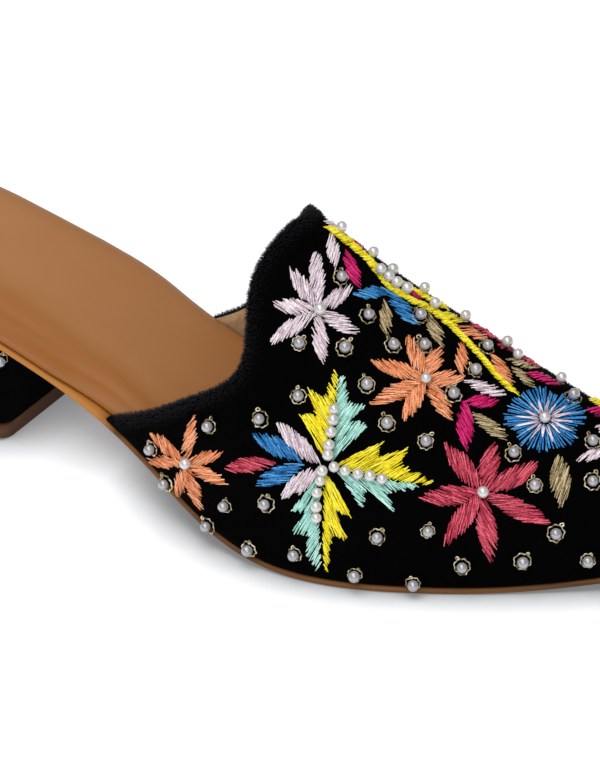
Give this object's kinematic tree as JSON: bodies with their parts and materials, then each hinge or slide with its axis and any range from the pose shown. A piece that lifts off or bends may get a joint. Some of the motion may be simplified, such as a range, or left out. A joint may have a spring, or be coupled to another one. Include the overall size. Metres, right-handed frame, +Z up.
{
  "type": "embroidered backless mojari",
  "caption": "Backless slip-on shoe for the right foot: a pointed velvet upper over a padded leather footbed, a thin leather outsole and a covered block heel.",
  "frame": {"origin": "on the floor, under the middle of the shoe's box", "axes": "+X from heel to toe, +Y to the inner (big toe) side, +Z up from the floor"},
  "size_m": [0.25, 0.0858, 0.0752],
  "materials": {
    "sole_leather": "waxed edge",
    "footbed_leather": "smooth satin",
    "velvet": "short plush nap",
    "lift_leather": "dark stained"
  },
  "bodies": {
    "root": {"outsole": "sole_leather", "insole": "footbed_leather", "upper": "velvet", "heel": "velvet", "heel_lift": "lift_leather"}
  },
  "joints": []
}
